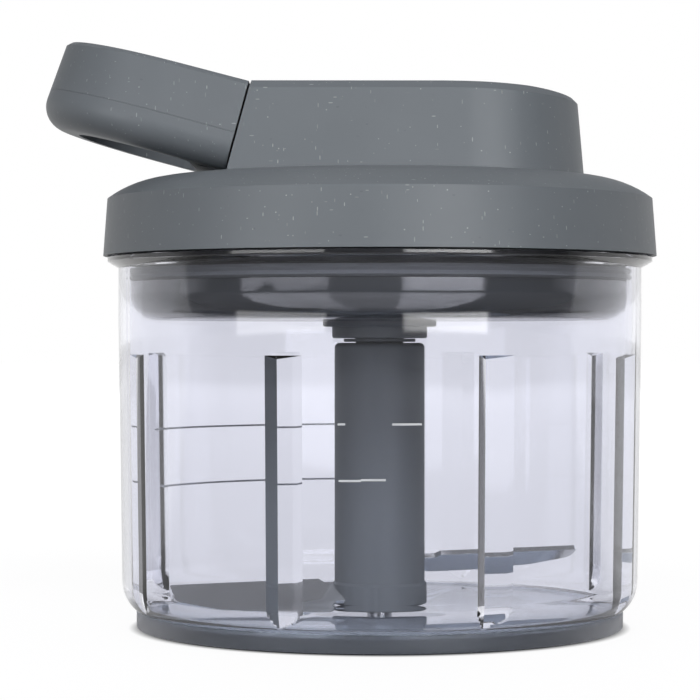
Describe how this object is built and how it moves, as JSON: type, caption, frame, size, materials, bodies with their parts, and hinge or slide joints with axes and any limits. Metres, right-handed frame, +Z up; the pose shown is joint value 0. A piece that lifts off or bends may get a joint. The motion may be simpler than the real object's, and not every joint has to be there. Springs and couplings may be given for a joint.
{
  "type": "pull cord food chopper",
  "caption": "Hand food chopper: clear ribbed bowl, blade column, and a lift-off lid whose finger-loop handle draws a cord to spin the blades.",
  "frame": {"origin": "on the ground at the axis of the bowl, at the centre of the underside of the pad", "axes": "+Z up along the axis of the bowl; -X towards the finger-loop handle; +Y away from the side seen first"},
  "size_m": [0.1458, 0.132, 0.1393],
  "materials": {
    "clear_bowl": "clear, polished, faint cool tint",
    "speckled_plastic": "fine satin grey with pale flecks",
    "column_plastic": "fine satin",
    "inner_plastic": "plain moulded acetal",
    "soft_pad": "matte, soft",
    "seal_rubber": "matte silicone",
    "steel": "ground and polished",
    "spring_steel": "blued strip",
    "zinc_steel": "zinc plated",
    "bronze": "sintered, oiled",
    "cord": "braided nylon"
  },
  "bodies": {
    "bowl": {"bowl": "clear_bowl", "base_pad": "soft_pad", "pivot_pin": "steel"},
    "lid": {"lid_cover": "speckled_plastic", "lid_base": "speckled_plastic", "lid_seal": "seal_rubber", "bearing_plate": "inner_plastic", "plate_screws": "zinc_steel", "upper_bush": "bronze", "lower_bush": "bronze", "shaft_seal": "seal_rubber", "center_post": "steel", "cord_guide": "inner_plastic", "cord_lead": "cord", "spiral_spring": "spring_steel"},
    "handle": {"handle_upper": "speckled_plastic", "handle_lower": "speckled_plastic", "handle_screws": "zinc_steel", "cord_stop": "zinc_steel", "pull_cord": "cord"},
    "drum": {"cord_drum": "inner_plastic", "spring_cover": "inner_plastic", "cord_on_drum": "cord"},
    "drive": {"drive_shaft": "inner_plastic", "drive_dog": "column_plastic", "dog_screw": "zinc_steel", "pawl_pins": "steel"},
    "front_pawl": {"front_pawl": "zinc_steel"},
    "rear_pawl": {"rear_pawl": "zinc_steel"},
    "blade_unit": {"blade_shaft": "column_plastic", "lower_blade": "steel", "upper_blade": "steel"}
  },
  "joints": [
    {"name": "lid_lift", "type": "slide", "parent": "bowl", "child": "lid", "axis": [0, 0, 1], "range_m": [0, 0.1]},
    {"name": "handle_pull", "type": "slide", "parent": "lid", "child": "handle", "axis": [-0.9659, 0, 0.2588], "range_m": [0, 0.32], "stiffness_N_per_m": 10, "springref_m": -0.25},
    {"name": "drum_spin", "type": "hinge", "parent": "lid", "child": "drum", "pos_m": [0, 0, 0.1171], "axis": [0, 0, 1], "range_deg": [0, 900]},
    {"name": "drive_spin", "type": "hinge", "parent": "lid", "child": "drive", "pos_m": [0, 0, 0.1], "axis": [0, 0, 1], "range_deg": [0, 900]},
    {"name": "blade_spin", "type": "hinge", "parent": "bowl", "child": "blade_unit", "pos_m": [0, 0, 0.02], "axis": [0, 0, 1], "range_deg": [0, 900]},
    {"name": "front_pawl_swing", "type": "hinge", "parent": "drive", "child": "front_pawl", "pos_m": [0, -0.0122, 0.1094], "axis": [0, 0, -1], "range_deg": [0, 12]},
    {"name": "rear_pawl_swing", "type": "hinge", "parent": "drive", "child": "rear_pawl", "pos_m": [0, 0.0122, 0.1094], "axis": [0, 0, -1], "range_deg": [0, 12]}
  ],
  "couplings": [
    {"joint": "drum_spin", "follows": "handle_pull", "rad_per_m": 49.02},
    {"joint": "drive_spin", "follows": "handle_pull", "rad_per_m": 49.02},
    {"joint": "blade_spin", "follows": "handle_pull", "rad_per_m": 49.02}
  ]
}
